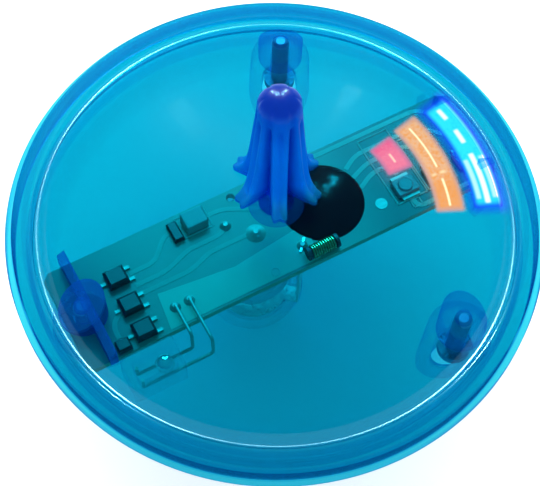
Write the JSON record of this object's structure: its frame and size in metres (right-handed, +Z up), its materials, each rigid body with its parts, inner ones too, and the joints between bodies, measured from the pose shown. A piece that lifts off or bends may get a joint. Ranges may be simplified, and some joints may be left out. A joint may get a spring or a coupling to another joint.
{
  "type": "light-up spinning top",
  "caption": "Clear blue spinning top with a fluted finger stem, a ball tip and a circuit board of lamps that a motion switch lights as it spins.",
  "frame": {"origin": "lowest point of the tip ball, on the spin axis", "axes": "+Z up the spin axis to the finger stem; +X along the circuit board towards the lamps"},
  "size_m": [0.0772, 0.0772, 0.0586],
  "materials": {
    "shell_cyan": "clear tinted moulding, polished",
    "stem_blue": "clear royal-blue moulding, polished",
    "tip_steel": "polished",
    "screw_steel": "plated",
    "board_green": "solder mask over phenolic board",
    "black_epoxy": "poured, glossy",
    "lamp_red": "moulded lens",
    "lamp_orange": "moulded lens",
    "lamp_blue": "moulded lens",
    "solder_tin": "bright solder",
    "part_black": "moulded",
    "part_pale": "fired ceramic",
    "ferrite": "sintered",
    "copper_wire": "enamelled wire",
    "holder_clear": "clear moulding",
    "cell_steel": "satin",
    "contact_steel": "plated strip and wire",
    "switch_clear": "clear moulding",
    "switch_steel": "polished"
  },
  "bodies": {
    "tip": {"tip_ball": "tip_steel"},
    "top": {"battery_holder": "holder_clear", "battery_spring": "contact_steel", "cell_bottom": "cell_steel", "cell_middle": "cell_steel", "cell_top": "cell_steel", "chip_blob": "black_epoxy", "circuit_board": "board_green", "coil_core": "ferrite", "coil_winding": "copper_wire", "driver_transistors": "part_black", "filter_capacitor": "part_pale", "led_blue": "lamp_blue", "led_orange": "lamp_orange", "led_red": "lamp_red", "led_resistors": "part_black", "led_terminals": "solder_tin", "lower_contact": "contact_steel", "lower_shell": "shell_cyan", "protection_diode": "part_black", "shell_screws": "screw_steel", "solder_joints": "solder_tin", "stem": "stem_blue", "switch_case": "switch_clear", "switch_leads": "solder_tin", "switch_lid": "switch_clear", "timing_resistor": "part_black", "transistor_legs": "solder_tin", "upper_contact": "contact_steel", "upper_shell": "shell_cyan"},
    "switch_weight": {"switch_ball": "switch_steel"}
  },
  "joints": [
    {"name": "spin", "type": "hinge", "parent": "tip", "child": "top", "pos_m": [0, 0, 0.0025], "axis": [0, 0, 1], "continuous": true},
    {"name": "switch_roll", "type": "slide", "parent": "top", "child": "switch_weight", "axis": [-1, 0, 0], "range_m": [0, 0.0018]}
  ]
}
